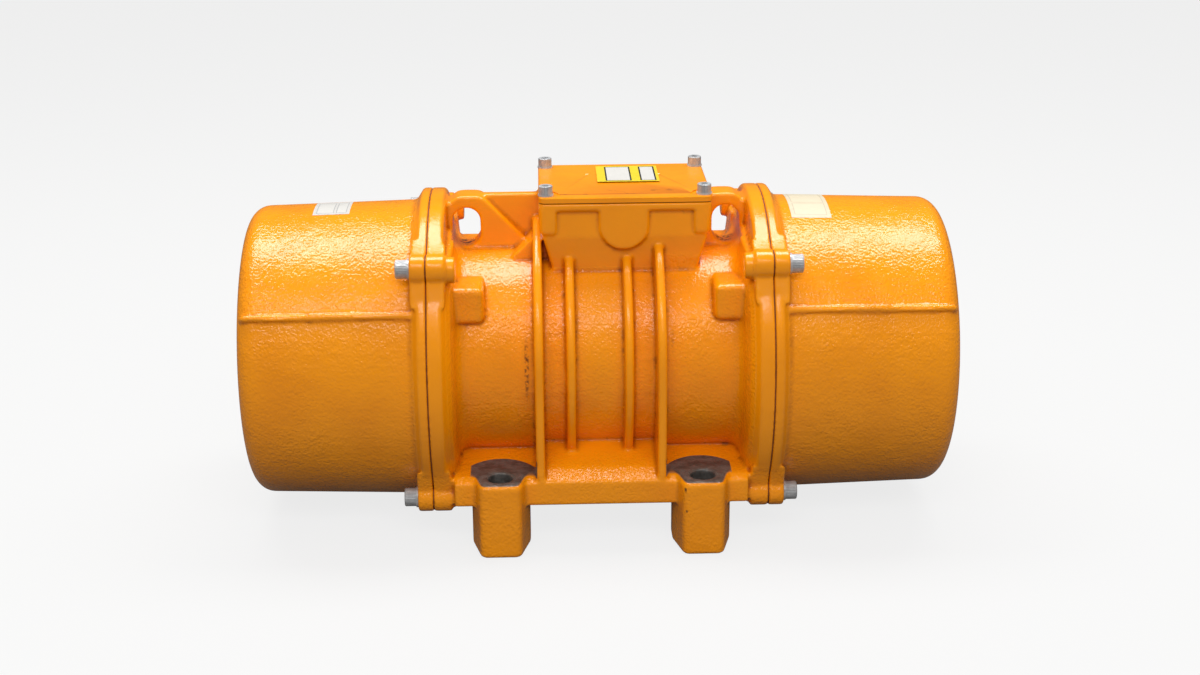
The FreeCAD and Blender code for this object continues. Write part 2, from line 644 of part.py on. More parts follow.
def bearing_outer_ring():
    low, high = BEARING_X
    race = ROLLER_PITCH_R + ROLLER_R + RACE_GAP
    return turned(square([(low, race - 2.5), (low, BEARING_OUT_R), (high, BEARING_OUT_R),
                          (high, race - 2.5), (high - 3, race - 2.5), (high - 3, race),
                          (low + 3, race), (low + 3, race - 2.5)]))


def bearing_inner_ring():
    race = ROLLER_PITCH_R - ROLLER_R - RACE_GAP
    return ring_x(*BEARING_X, BEARING_SEAT_R, race)


def bearing_rollers():
    low, high = BEARING_X[0] + 4.5, BEARING_X[1] - 4.5
    roller = rod_x(low, high, ROLLER_R, ROLLER_PITCH_R)
    return [turn(roller, 360 * i / ROLLERS) for i in range(ROLLERS)]


def bearing_cage():
    low, high = BEARING_X[0] + 2.0, BEARING_X[1] - 2.0
    ring = ring_x(low, high, 33.0, 39.6)
    pocket = rod_x(low + 2.2, high - 2.2, ROLLER_R + 0.3, ROLLER_PITCH_R)
    return cut(ring, [turn(pocket, 360 * i / ROLLERS) for i in range(ROLLERS)])


def bearing_cap():
    high = BEARING_X[1]
    shape = turned(square([(high + 0.2, 42.0), (high + 0.2, BEARING_OUT_R - FIT),
                           (high + 5, BEARING_OUT_R - FIT), (high + 5, HUB_OUT_R),
                           (high + 10, HUB_OUT_R), (high + 10, SEAL_R), (high + 3, SEAL_R),
                           (high + 3, 42.0)]))
    holes = [turn(rod_x(high, high + 11, 2.7, CAP_PITCH_R), a) for a in LOBE_ANGLES]
    return cut(shape, holes)


def cap_screws():
    screw = lay_down(plain_screw_z(0, 10.0, 2.5, 0, 0, 2.2))
    return [at_bolt(screw, BEARING_X[1] + 10, CAP_PITCH_R, a) for a in LOBE_ANGLES]


def grease_seal():
    high = BEARING_X[1]
    return ring_x(high + 3, high + 9, BEARING_SEAT_R + 0.3, SEAL_R)


# Stator, rotor and weights --------------------------------------------------------
def stator_core():
    return ring_x(-CORE_HALF, CORE_HALF, ROTOR_BORE_R, STATOR_BORE_R)


def stator_windings():
    low, high = WINDING_R
    end = WINDING_END
    coil = turned(square([(CORE_HALF, low), (CORE_HALF, high), (end - 6, high), (end, high - 5),
                          (end, low + 5), (end - 6, low)]))
    return [coil, mirror_x(coil)]


def shaft():
    half = [(0, SHAFT_CORE_R), (55.0, SHAFT_CORE_R), (55.0, SHAFT_SHOULDER_R),
            (BEARING_X[0], SHAFT_SHOULDER_R), (BEARING_X[0], BEARING_SEAT_R),
            (FIXED_WEIGHT_X[0], BEARING_SEAT_R), (FIXED_WEIGHT_X[0], WEIGHT_SEAT_R),
            (SHAFT_END - 1.5, WEIGHT_SEAT_R), (SHAFT_END, WEIGHT_SEAT_R - 1.5), (SHAFT_END, 0)]
    left = [(-x, radius) for x, radius in reversed(half[1:])]
    shape = turned(square(left + half[1:]))
    groove = ring_x(*CIRCLIP_X, WEIGHT_SEAT_R - 1.5, WEIGHT_SEAT_R + 1)
    seat = key_blank()
    return cut(shape, groove, mirror_x(groove), seat, mirror_x(seat))


def key_blank():
    return block(*KEY_X, -KEY_HALF, KEY_HALF, AXIS_Z + KEY_LOW, AXIS_Z + KEY_HIGH)


def rotor_core():
    return ring_x(-CORE_HALF, CORE_HALF, SHAFT_CORE_R, ROTOR_BORE_R - AIR_GAP)


def rotor_end_rings():
    ring = ring_x(CORE_HALF, CORE_HALF + 9, 31.0, 42.5)
    return [ring, mirror_x(ring)]


def weight_blank(x0, x1):
    """Half disc below the shaft with a round hub, sides drawn in to the hub."""
    disc = rod_x(x0, x1, WEIGHT_R)
    corners = [(-95.0, AXIS_Z - 100), (-95.0, AXIS_Z - 22), (-HUB_R, AXIS_Z - 4),
               (HUB_R, AXIS_Z - 4), (95.0, AXIS_Z - 22), (95.0, AXIS_Z - 100)]
    lower = disc.common(prism(square(corners), across(x0), V(x1 - x0, 0, 0)))
    return fuse(lower, rod_x(x0, x1, HUB_R))


def fixed_weight():
    x0, x1 = FIXED_WEIGHT_X
    shape = weight_blank(x0, x1)
    keyway = block(x0 - 1, x1 + 1, -KEY_HALF, KEY_HALF, AXIS_Z, AXIS_Z + KEY_HIGH + 0.2)
    return cut(shape, rod_x(x0 - 1, x1 + 1, WEIGHT_SEAT_R), keyway)


def adjustable_weight():
    """Weight that clamps on the shaft: a slit hub with a cross screw."""
    x0, x1 = LOOSE_WEIGHT_X
    ears = block(x0 + 5, x1 - 5, -22.0, 22.0, AXIS_Z, AXIS_Z + 50.0)
    ears = soften(ears, 8.0, lambda m, e: m.z > AXIS_Z + 49 and abs(e.x) > 1)
    shape = fuse(weight_blank(x0, x1), ears)
    slit = block(x0 - 1, x1 + 1, -1.5, 1.5, AXIS_Z, AXIS_Z + 60.0)
    middle = (x0 + x1) / 2
    return cut(shape, rod_x(x0 - 1, x1 + 1, WEIGHT_SEAT_R + FIT), slit,
               rod_y(-30, 30, CLAMP_R + 0.1, middle, CLAMP_Z))


def clamp_screw():
    middle = sum(LOOSE_WEIGHT_X) / 2
    screw = socket_screw_z(0, 52.0, CLAMP_R, 0, 0, 10.0)
    nut = hexagon_z(-52.0, -44.0, 16.0, 0, 0)
    shape = fuse(screw, nut)
    shape.rotate(V(0, 0, 0), V(1, 0, 0), 90)
    shape.translate(V(middle, -22.0, CLAMP_Z))
    return shape


def scale_disc():
    return ring_x(*DISC_X, WEIGHT_SEAT_R, DISC_R)


def circlip():
    ring = ring_x(CIRCLIP_X[0] + 0.1, CIRCLIP_X[1] - 0.1, WEIGHT_SEAT_R - 1.5, CIRCLIP_R)
    mouth = block(CIRCLIP_X[0] - 1, CIRCLIP_X[1] + 1, -5.0, 5.0, AXIS_Z + 10, AXIS_Z + 30)
    return cut(ring, mouth)


# Nodes ----------------------------------------------------------------------------
SINGLE = {
    "casing": casing,
    "terminal_box_gasket": lid_gasket,
    "terminal_box_lid": lid,
    "lid_screws": lid_screws,
    "lid_washers": lid_washers,
    "terminal_board": terminal_board,
    "terminal_studs": terminal_studs,
    "terminal_links": terminal_links,
    "terminal_nuts": terminal_nuts,
    "board_screws": board_screws,
    "earth_screw": earth_screw,
    "cable_gland_body": gland_body,
    "cable_gland_nut": gland_nut,
    "cable_gland_seal": gland_seal,
    "stator_core": stator_core,
    "stator_windings": stator_windings,
    "shaft": shaft,
    "rotor_core": rotor_core,
    "rotor_end_rings": rotor_end_rings,
}
EACH_END = {
    "end_cover": end_cover,
    "cover_gasket": cover_gasket,
    "cover_screws": cover_screws,
    "cover_washers": cover_washers,
    "bearing_housing": bearing_housing,
    "housing_screws": housing_screws,
    "bearing_outer_ring": bearing_outer_ring,
    "bearing_inner_ring": bearing_inner_ring,
    "bearing_rollers": bearing_rollers,
    "bearing_cage": bearing_cage,
    "bearing_cap": bearing_cap,
    "cap_screws": cap_screws,
    "grease_seal": grease_seal,
    "fixed_weight": fixed_weight,
    "weight_key": key_blank,
    "adjustable_weight": adjustable_weight,
    "clamp_screw": clamp_screw,
    "scale_disc": scale_disc,
    "circlip": circlip,
}


def export(node, solids):
    solids = solids if isinstance(solids, list) else solids.Solids
    for solid in solids:
        if not solid.isValid():
            raise ValueError("not a valid solid: " + node)
    shape = solids[0] if len(solids) == 1 else Part.makeCompound(solids)
    shape.exportStep("parts/" + node + ".step")


def main():
    os.makedirs("parts", exist_ok=True)
    for node, make in SINGLE.items():
        export(node, make())
    for node, make in EACH_END.items():
        made = make()
        export("right_" + node, made)
        other = [mirror_x(s) for s in made] if isinstance(made, list) else mirror_x(made)
        export("left_" + node, other)


main()
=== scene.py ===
"""The looks of a foot-mounted vibration motor: enamelled castings, zinc plated
screws, blank labels, machined foot seats and the working parts inside."""
import json
import math

import bmesh
import bpy
from bpy.props import FloatProperty, FloatVectorProperty, IntProperty, PointerProperty
from mathutils import Matrix, Vector


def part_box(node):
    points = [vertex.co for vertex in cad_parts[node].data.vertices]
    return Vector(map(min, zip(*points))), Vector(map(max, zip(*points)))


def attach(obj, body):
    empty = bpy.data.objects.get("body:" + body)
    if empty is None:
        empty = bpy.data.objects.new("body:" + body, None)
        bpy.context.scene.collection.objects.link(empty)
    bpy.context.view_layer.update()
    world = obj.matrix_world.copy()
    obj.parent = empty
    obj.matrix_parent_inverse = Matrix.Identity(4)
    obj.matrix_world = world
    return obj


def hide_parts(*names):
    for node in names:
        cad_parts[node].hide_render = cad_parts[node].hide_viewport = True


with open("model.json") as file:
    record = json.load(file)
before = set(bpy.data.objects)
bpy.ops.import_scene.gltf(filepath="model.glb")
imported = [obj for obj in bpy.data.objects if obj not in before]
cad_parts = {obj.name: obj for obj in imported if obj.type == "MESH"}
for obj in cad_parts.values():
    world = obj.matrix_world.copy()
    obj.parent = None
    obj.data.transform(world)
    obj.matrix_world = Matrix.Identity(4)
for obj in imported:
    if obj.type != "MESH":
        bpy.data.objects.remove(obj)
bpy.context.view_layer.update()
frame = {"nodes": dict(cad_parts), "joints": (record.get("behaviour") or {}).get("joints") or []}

bl_info = {
    "name": "Vibration motor",
    "version": (1, 0, 0),
    "blender": (4, 5, 0),
    "location": "View3D > Sidebar > Vibration motor",
    "description": "Finishes the castings, fasteners and labels of a vibration motor",
    "category": "Object",
}

MM = 0.001
SHAFT_Z = frame["joints"][0]["pos_m"][2]
SIDES = ("left", "right")
ROOT = "motor_body"

# feet, all four folded into one
FOOT_X = 70 * MM
FOOT_HOLE_Y = 95 * MM
SEAT_Y = 89.5 * MM              # middle of the milled seat
SEAT_RADIUS = 26.9 * MM
SEAT_SIDE_X = 91 * MM           # nothing past this is milled
SEAT_LOW_Z, SEAT_TOP_Z = 53 * MM, 66.5 * MM
HOLE_RADIUS = 11.6 * MM
HOLE_TOP_Z = 55 * MM

# smooth parts of the casing
RIM_RADIUS = 107.5 * MM         # flange rims start here
RIM_LOW_Z = 56 * MM
BOX_LOW_Z = 194 * MM            # terminal box and lugs
BOX_SIDE_X = 104 * MM
RIB_RADIUS = 79 * MM            # ribs start here, past the barrel
RIB_SIDE_X = 47 * MM
RIB_LOW_Z = 58 * MM

# screw heads: middle of the pattern, half its spread, head radius and knurl teeth
LID_SCREW_X, LID_SCREW_HALF_X = 18.9 * MM, 54.45 * MM
LID_SCREW_HALF_Y = 40.8 * MM
LID_HEAD_RADIUS, LID_HEAD_TEETH = 4.8 * MM, 28
COVER_SCREW_HALF = 82.94 * MM
COVER_HEAD_RADIUS, COVER_HEAD_TEETH = 6.4 * MM, 36

# end covers: outside radius at the open end, and how much it falls to the closed end,
# both in mm
COVER_RADIUS, COVER_TAPER = 106.3, 3.3
COVER_START, COVER_LENGTH = 127.5 * MM, 118.1 * MM

# labels on the covers: from where to where along X, and in degrees above the front
LEFT_LABEL_X, LEFT_LABEL_ARC = (-198.6 * MM, -173.0 * MM), (81.2, 100.0)
RIGHT_LABEL_X, RIGHT_LABEL_ARC = (135.5 * MM, 163.5 * MM), (72.2, 104.0)
LABEL_GAP = 0.05 * MM           # between a label and the cover under it

# corners ((x, y), (x, y)) in mm: outline of the lid's label, and each label's fields
LID_LABEL = ((1.0, -8.0), (45.0, 38.0))
LID_FORM = (((7.0, -5.5), (25.5, 35.5)), ((31.5, -5.5), (43.0, 35.5)))
LEFT_FORM = (((-196.4, -13.5), (-184.0, 12.0)), ((-182.5, -13.5), (-175.0, 12.0)))
RIGHT_FORM = (((138.0, -28.5), (161.0, -10.0)), ((138.0, -8.5), (161.0, 21.0)))
BLACK_INK = (0.02, 0.02, 0.02)
GREY_INK = (0.34, 0.34, 0.34)
TAN_INK = (0.50, 0.42, 0.30)

# stage
FLOOR_SIZE = 12.0
FLOOR_BOUNCE = 0.22             # share of the floor's colour that lights the object
FLOOR_SEEN, FLOOR_MIRRORED = 0.80, 0.04
SKY_MIRRORED, SKY_LIGHT = 0.10, 0.46
LAMPS = (  # name, place and size in m, power in W, and whether it mirrors in the enamel
    ("overhead softbox", (0.0, 0.32, 1.55), (1.9, 0.62), 25.0, True),
    ("front strip", (-0.35, -1.35, 1.55), (1.5, 0.26), 4.6, True),
    ("front fill", (0.1, -2.2, 1.9), (2.4, 0.9), 36.0, False),
)
SENSOR_WIDTH = 36.0
CAMERA_PLACE = (-0.0376, -1.251, 0.5525)
CAMERA_YAW, CAMERA_PITCH, CAMERA_ROLL = 0.032, 0.331, -0.006


# ---------------------------------------------------------------- settings
def colour(name, description, default):
    return FloatVectorProperty(name=name, description=description, subtype="COLOR", size=3,
                               min=0.0, max=1.0, default=default)


def length(name, description, default):
    return FloatProperty(name=name, description=description, default=default, min=0.0,
                         unit="LENGTH", subtype="DISTANCE", precision=5)


class CastSettings(bpy.types.PropertyGroup):
    voxel: length("Voxel", "Grid size that rounds the edges of the castings", 1.15 * MM)
    draft_voxel: length("Draft voxel", "Coarser grid for quick looks", 1.8 * MM)
    smooth_steps: IntProperty(name="Smooth steps", default=5, min=0, max=30,
                              description="Rounds of smoothing after the grid")
    casing_triangles: IntProperty(name="Casing triangles", default=190000, min=1000,
                                  description="Most triangles in the casing")
    cover_triangles: IntProperty(name="Cover triangles", default=80000, min=1000,
                                 description="Most triangles in each end cover")


class EnamelSettings(bpy.types.PropertyGroup):
    body: colour("Enamel", "Main colour of the orange enamel", (0.95, 0.315, 0.002))
    thin: colour("Thin enamel", "Redder tone where the coat is thin or dirty",
                 (0.56, 0.115, 0.002))
    # painted shade: the colour that darkens inside corners, not a tone of the coat
    corner_shade: colour("Corner", "Deeper tone of the coat in inside corners", (0.42, 0.075, 0.002))
    # the dirt colour also paints the shade under the lug eyes
    dirt_and_shade: colour("Dirt", "Oily dirt and bare iron", (0.050, 0.018, 0.007))
    grain: length("Grain", "Width of the bumps in the sprayed coat", 1.9 * MM)
    grain_height: length("Grain height", "Height of the bumps", 0.60 * MM)


class LabelSettings(bpy.types.PropertyGroup):
    paper: colour("Paper", "Blank white label", (0.60, 0.585, 0.55))
    cream: colour("Cream", "Blank cream label", (0.68, 0.60, 0.44))
    yellow: colour("Yellow", "Band on the lid label", (0.74, 0.56, 0.02))
    thickness: length("Thickness", "Thickness of a label", 0.12 * MM)


class StageSettings(bpy.types.PropertyGroup):
    lens: FloatProperty(name="Lens", description="Focal length on a 36 mm wide sensor",
                        default=54.53, min=10.0, unit="CAMERA")
    floor: colour("Floor", "Pale floor", (0.50, 0.50, 0.49))


# ---------------------------------------------------------------- node tools
def add(tree, kind, inputs=None, **values):
    """A shader node with its settings and its unlinked input values."""
    node = tree.nodes.new("ShaderNode" + kind)
    for key, value in values.items():
        setattr(node, key, value)
    for key, value in (inputs or {}).items():
        if isinstance(value, bpy.types.NodeSocket):
            tree.links.new(value, node.inputs[key])
        else:
            node.inputs[key].default_value = value
    return node


def maths(tree, operation, *terms):
    node = add(tree, "Math", dict(enumerate(terms)), operation=operation)
    return node.outputs[0]


def product(tree, first, *more):
    for term in more:
        first = maths(tree, "MULTIPLY", first, term)
    return first


def distance(tree, first, second):
    """Length of the two sides of a right angle taken together."""
    squares = (maths(tree, "MULTIPLY", side, side) for side in (first, second))
    return maths(tree, "SQRT", maths(tree, "ADD", *squares))


def ramp(tree, value, low, high, to_low=0.0, to_high=1.0):
    """Smooth step of a value from low..high to to_low..to_high."""
    node = add(tree, "MapRange", {"Value": value, "From Min": low, "From Max": high,
                                  "To Min": to_low, "To Max": to_high},
               interpolation_type="SMOOTHSTEP")
    return node.outputs["Result"]


def noise(tree, vector, size, detail=2.0, roughness=0.5):
    node = add(tree, "TexNoise", {"Vector": vector, "Scale": 1.0 / size, "Detail": detail,
                                  "Roughness": roughness})
    return node.outputs["Fac"]


def blend_colours(tree, factor, first, second):
    node = add(tree, "Mix", data_type="RGBA")
    for key, value in ((0, factor), (6, first), (7, second)):
        if isinstance(value, bpy.types.NodeSocket):
            tree.links.new(value, node.inputs[key])
        else:
            node.inputs[key].default_value = value if key == 0 else tone(value)
    return node.outputs[2]


def tone(rgb):
    return (*rgb[:3], 1.0)


def object_point(tree):
    return add(tree, "TexCoord").outputs["Object"]


def group(name, inputs, outputs):
    """An empty node group with float inputs {name: default} and outputs [(name, kind)]."""
    tree = bpy.data.node_groups.new(name, "ShaderNodeTree")
    for key, default in inputs.items():
        socket = tree.interface.new_socket(key, in_out="INPUT", socket_type="NodeSocketFloat")
        socket.default_value = default
    for key, kind in outputs:
        tree.interface.new_socket(key, in_out="OUTPUT", socket_type="NodeSocket" + kind)
    return tree, tree.nodes.new("NodeGroupInput").outputs, tree.nodes.new("NodeGroupOutput")


def place_group(tree, name, **inputs):
    node = tree.nodes.new("ShaderNodeGroup")
    node.node_tree = bpy.data.node_groups[name]
    for key, value in inputs.items():
        socket = node.inputs[key.replace("_", " ")]
        if isinstance(value, bpy.types.NodeSocket):
            tree.links.new(value, socket)
        else:
            socket.default_value = value
    return node.outputs


def cast_grain_group():
    """Orange peel of a thick sprayed coat over a sand cast skin."""
    tree, given, out = group("cast grain", {"Size": 0.0015, "Height": 0.00012, "Smooth": 0.0},
                             [("Normal", "Vector")])
    point = object_point(tree)
    scale = maths(tree, "DIVIDE", 1.0, given["Size"])
    peel = add(tree, "TexNoise", {"Vector": point, "Scale": scale, "Detail": 0.6,
                                  "Roughness": 0.5, "Distortion": 0.4}).outputs["Fac"]
    wide = maths(tree, "MULTIPLY", scale, 0.3)
    coarse = add(tree, "TexNoise", {"Vector": point, "Scale": wide,
                                    "Detail": 1.0}).outputs["Fac"]
    patch = ramp(tree, noise(tree, point, 0.03, 2.0), 0.30, 0.66, 0.55, 1.0)
    height = maths(tree, "ADD", peel, maths(tree, "MULTIPLY", coarse, 0.7))
    height = maths(tree, "MULTIPLY", height, patch)
    quiet = maths(tree, "SUBTRACT", 1.0, maths(tree, "MULTIPLY", given["Smooth"], 0.86))
    height = maths(tree, "MULTIPLY", height, quiet)
    swell = maths(tree, "MULTIPLY", noise(tree, point, 0.014, 0.0), 0.3)
    height = maths(tree, "ADD", height, swell)
    bump = add(tree, "Bump", {"Strength": 1.0, "Distance": given["Height"], "Height": height})
    tree.links.new(bump.outputs["Normal"], out.inputs["Normal"])


def fine_noise_group():
    """Small colour and gloss changes for plain surfaces."""
    tree, given, out = group("fine noise", {"Size": 0.002, "Low": 0.0, "High": 1.0},
                             [("Mask", "Float")])
    scale = maths(tree, "DIVIDE", 1.0, given["Size"])
    grain = add(tree, "TexNoise", {"Vector": object_point(tree), "Scale": scale, "Detail": 4.0,
                                   "Roughness": 0.6}).outputs["Fac"]
    shaped = ramp(tree, grain, 0.3, 0.7)
    span = maths(tree, "SUBTRACT", given["High"], given["Low"])
    result = maths(tree, "ADD", given["Low"], maths(tree, "MULTIPLY", shaped, span))
    tree.links.new(result, out.inputs["Mask"])


def crevice_group():
    """Painted shade in inside corners, and the dirt that settles in patches of them."""
    tree, given, out = group("crevice", {"Reach": 0.06},
                             [("Corner", "Float"), ("Dirt", "Float")])
    bent = tree.nodes.new("ShaderNodeNewGeometry").outputs["Pointiness"]
    point = object_point(tree)
    low = maths(tree, "SUBTRACT", 0.5, given["Reach"])
    hollow = add(tree, "MapRange", {"Value": bent, "From Min": 0.495, "From Max": low,
                                    "To Min": 0.0, "To Max": 1.0}).outputs["Result"]
    # this output sets the painted shade in inside corners
    tree.links.new(hollow, out.inputs["Corner"])
    patchy = ramp(tree, noise(tree, point, 0.012, 3.0, 0.6), 0.56, 0.68)
    tree.links.new(maths(tree, "MULTIPLY", hollow, patchy), out.inputs["Dirt"])


def material(name, metallic=0.0, roughness=0.5, specular=0.5):
    """A new Principled material, with the values that are the same all over it."""
    made = bpy.data.materials.new(name)
    made.use_nodes = True
    tree = made.node_tree
    shader = tree.nodes["Principled BSDF"]
    for key, value in (("Metallic", metallic), ("Roughness", roughness),
                       ("Specular IOR Level", specular)):
        shader.inputs[key].default_value = value
    return made, tree, shader


def finish(tree, shader, **inputs):
    for key, socket in inputs.items():
        tree.links.new(socket, shader.inputs[key.replace("_", " ")])


# ---------------------------------------------------------------- mesh tools
def new_piece(name, bm, body, smooth_angle=40.0):
    """Turn a bmesh into an object at the origin that rides on a body."""
    bmesh.ops.recalc_face_normals(bm, faces=bm.faces)
    mesh = bpy.data.meshes.new(name)
    bm.to_mesh(mesh)
    bm.free()
    mesh.shade_smooth()
    mesh.set_sharp_from_angle(angle=math.radians(smooth_angle))
    piece = bpy.data.objects.new(name, mesh)
    bpy.context.scene.collection.objects.link(piece)
    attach(piece, body)
    return piece


def settle(piece):
    """Apply the piece's modifiers to its mesh."""
    graph = bpy.context.evaluated_depsgraph_get()
    mesh = bpy.data.meshes.new_from_object(piece.evaluated_get(graph))
    piece.modifiers.clear()
    old = piece.data
    piece.data = mesh
    bpy.data.meshes.remove(old)
    mesh.name = piece.name


def triangle_count(mesh):
    mesh.calc_loop_triangles()
    return len(mesh.loop_triangles)


def soft_casting(node, name, budget):
    """Copy of a CAD casting with the rounded corners of a sand casting."""
    settings = bpy.context.scene.motor_cast
    bm = bmesh.new()
    bm.from_mesh(frame["nodes"][node].data)
    bmesh.ops.remove_doubles(bm, verts=bm.verts, dist=1e-6)
    piece = new_piece(name, bm, ROOT)
    grid = piece.modifiers.new("round off", "REMESH")
    grid.mode = "VOXEL"
    grid.voxel_size = settings.voxel
    relax = piece.modifiers.new("relax", "SMOOTH")
    relax.factor = 0.5
    relax.iterations = settings.smooth_steps
    settle(piece)
    thin = piece.modifiers.new("thin out", "DECIMATE")
    thin.ratio = min(1.0, budget / max(triangle_count(piece.data), 1))
    settle(piece)
    piece.data.shade_smooth()
    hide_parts(node)
    return piece


def give(target, made):
    target.data.materials.clear()
    target.data.materials.append(made)


def dress(nodes, made):
    """Assign one material to CAD nodes."""
    for name in nodes:
        obj = frame["nodes"][name]
        if not obj.material_slots:
            obj.data.materials.append(made)
        for held in obj.material_slots:
            held.material = made


def both(name):
    return [side + "_" + name for side in SIDES]


# ---------------------------------------------------------------- materials
STAINS_AND_SHADE = (  # centre and reach in mm, and how dark: rub marks, chips, oily dirt, and painted shade under the lug eyes
    ((-50.5, -76.0, 128.0), (2.2, 9.0, 30.0), 0.8),
    ((50.0, -76.0, 150.0), (2.0, 8.0, 16.0), 0.45),
    # these two are painted shade under the lower lips of the lug eyes
    ((-91.5, 0.0, 196.5), (12.0, 9.0, 2.6), 0.9),
    ((91.5, 0.0, 196.0), (12.0, 10.0, 4.5), 1.0),
    ((-81.0, -4.0, 210.0), (2.2, 8.0, 13.0), 0.7),
    ((57.0, -110.8, 48.5), (1.4, 4.0, 2.6), 1.0),
    ((56.0, -110.8, 41.0), (1.0, 4.0, 2.0), 0.9),
    ((58.0, -110.8, 33.0), (1.2, 4.0, 1.6), 0.8),
    ((-60.0, 110.8, 30.0), (1.5, 4.0, 2.4), 0.8),
    ((30.0, 99.0, 40.0), (9.0, 5.0, 3.0), 0.5),
    ((-112.0, -60.0, 196.0), (2.5, 8.0, 8.0), 0.5),
    ((0.0, 78.0, 120.0), (16.0, 8.0, 7.0), 0.35),
)


def stain_and_shade_mask(tree, point):
    """Small dark marks and painted shade at the listed places, broken up by a noise."""
    total = 0.0
    for centre, reach, level in STAINS_AND_SHADE:
        moved = add(tree, "VectorMath", {0: point, 1: [v * MM for v in centre]},
                    operation="SUBTRACT").outputs[0]
        sized = add(tree, "VectorMath", {0: moved, 1: [1 / (v * MM) for v in reach]},
                    operation="MULTIPLY").outputs[0]
        far = add(tree, "VectorMath", {0: sized}, operation="LENGTH").outputs["Value"]
        total = maths(tree, "MAXIMUM", total, ramp(tree, far, 1.0, 0.35, 0.0, level))
    broken = ramp(tree, noise(tree, point, 0.0035, 4.0, 0.65), 0.40, 0.60)
    return maths(tree, "MULTIPLY", total, broken)


def smooth_places(tree, axes):
    """Where the castings are dressed smooth: flange rims, ribs, terminal box and lugs."""
    radius = distance(tree, maths(tree, "SUBTRACT", axes["Z"], SHAFT_Z), axes["Y"])
    along = maths(tree, "ABSOLUTE", axes["X"])
    rim = product(tree, ramp(tree, radius, RIM_RADIUS, RIM_RADIUS + 2 * MM),
                  ramp(tree, axes["Z"], RIM_LOW_Z, RIM_LOW_Z + 6 * MM))
    box = product(tree, ramp(tree, axes["Z"], BOX_LOW_Z, BOX_LOW_Z + 6 * MM),
                  ramp(tree, along, BOX_SIDE_X, BOX_SIDE_X - 4 * MM))
    rib = product(tree, ramp(tree, radius, RIB_RADIUS, RIB_RADIUS + 1.5 * MM),
                  ramp(tree, along, RIB_SIDE_X, RIB_SIDE_X - 1 * MM),
                  ramp(tree, axes["Z"], RIB_LOW_Z, RIB_LOW_Z + 8 * MM))
    return maths(tree, "MAXIMUM", maths(tree, "MAXIMUM", rim, box), rib)


def enamel(name, smooth_all=False):
    """Glossy orange enamel. Barrel, covers and feet show the cast grain, and the
    terminal box, lugs and rims are smoother."""
    settings = bpy.context.scene.motor_enamel
    made, tree, shader = material(name, roughness=0.26, specular=0.75)
    point = object_point(tree)
    axes = add(tree, "SeparateXYZ", {"Vector": point}).outputs
    smooth = 1.0 if smooth_all else smooth_places(tree, axes)
    grain = place_group(tree, "cast grain", Size=settings.grain, Height=settings.grain_height,
                        Smooth=smooth)
    corner_shade_and_dirt = place_group(tree, "crevice", Reach=0.045)
    uneven = ramp(tree, noise(tree, point, 0.05, 3.0), 0.35, 0.75, 0.0, 0.20)
    base = blend_colours(tree, uneven, settings.body, settings.thin)
    # painted shade: inside corners are darkened towards the corner colour
    base = blend_colours(tree, maths(tree, "MULTIPLY", corner_shade_and_dirt["Corner"], 0.8), base,
                         settings.corner_shade)
    base = blend_colours(tree, maths(tree, "MULTIPLY", corner_shade_and_dirt["Dirt"], 0.6), base, settings.dirt_and_shade)
    # dark marks, and painted shade under the lug eyes, in the dirt colour
    base = blend_colours(tree, stain_and_shade_mask(tree, point), base, settings.dirt_and_shade)
    gloss = place_group(tree, "fine noise", Size=0.006, Low=0.15, High=0.25)["Mask"]
    if not smooth_all:
        machined = seat_mask(tree, axes)
        base = blend_colours(tree, machined, base, seat_colour(tree, axes, point))
        gloss = maths(tree, "ADD", gloss, maths(tree, "MULTIPLY", machined, 0.22))
        finish(tree, shader, Metallic=maths(tree, "MULTIPLY", machined, 0.25))
    finish(tree, shader, Base_Color=base, Roughness=gloss, Normal=grain["Normal"])
    return made


def seat_distance(tree, axes, across):
    """Distance in plan from (FOOT_X, across), with all four feet folded into one."""
    return distance(tree, folded(tree, axes["X"], 0.0, FOOT_X),
                    folded(tree, axes["Y"], 0.0, across))


def seat_mask(tree, axes):
    """The milled floor of the foot seats, the cutter's wall behind it, and the hole."""
    soft = 0.6 * MM
    near = ramp(tree, seat_distance(tree, axes, SEAT_Y), SEAT_RADIUS, SEAT_RADIUS - soft)
    side = ramp(tree, maths(tree, "ABSOLUTE", axes["X"]), SEAT_SIDE_X, SEAT_SIDE_X - soft)
    low = ramp(tree, axes["Z"], SEAT_LOW_Z, SEAT_LOW_Z + soft)
    top = ramp(tree, axes["Z"], SEAT_TOP_Z, SEAT_TOP_Z - 1 * MM)
    floor = product(tree, near, side, low, top)
    wall = ramp(tree, seat_distance(tree, axes, FOOT_HOLE_Y), HOLE_RADIUS, HOLE_RADIUS - soft)
    hole = product(tree, wall, ramp(tree, axes["Z"], HOLE_TOP_Z, HOLE_TOP_Z - 1 * MM))
    return maths(tree, "MAXIMUM", floor, hole)


def seat_colour(tree, axes, point):
    """Brown-grey oiled metal with the cutter's rings."""
    spread = seat_distance(tree, axes, FOOT_HOLE_Y)
    turns = maths(tree, "SINE", maths(tree, "MULTIPLY", spread, 2 * math.pi / (1.1 * MM)))
    marks = ramp(tree, turns, -1.0, 1.0, 0.25, 0.75)
    stain = ramp(tree, noise(tree, point, 0.009, 4.0, 0.65), 0.35, 0.65)
    metal = blend_colours(tree, marks, (0.080, 0.074, 0.066), (0.24, 0.225, 0.205))
    return blend_colours(tree, maths(tree, "MULTIPLY", stain, 0.7), metal,
                         (0.036, 0.030, 0.025))


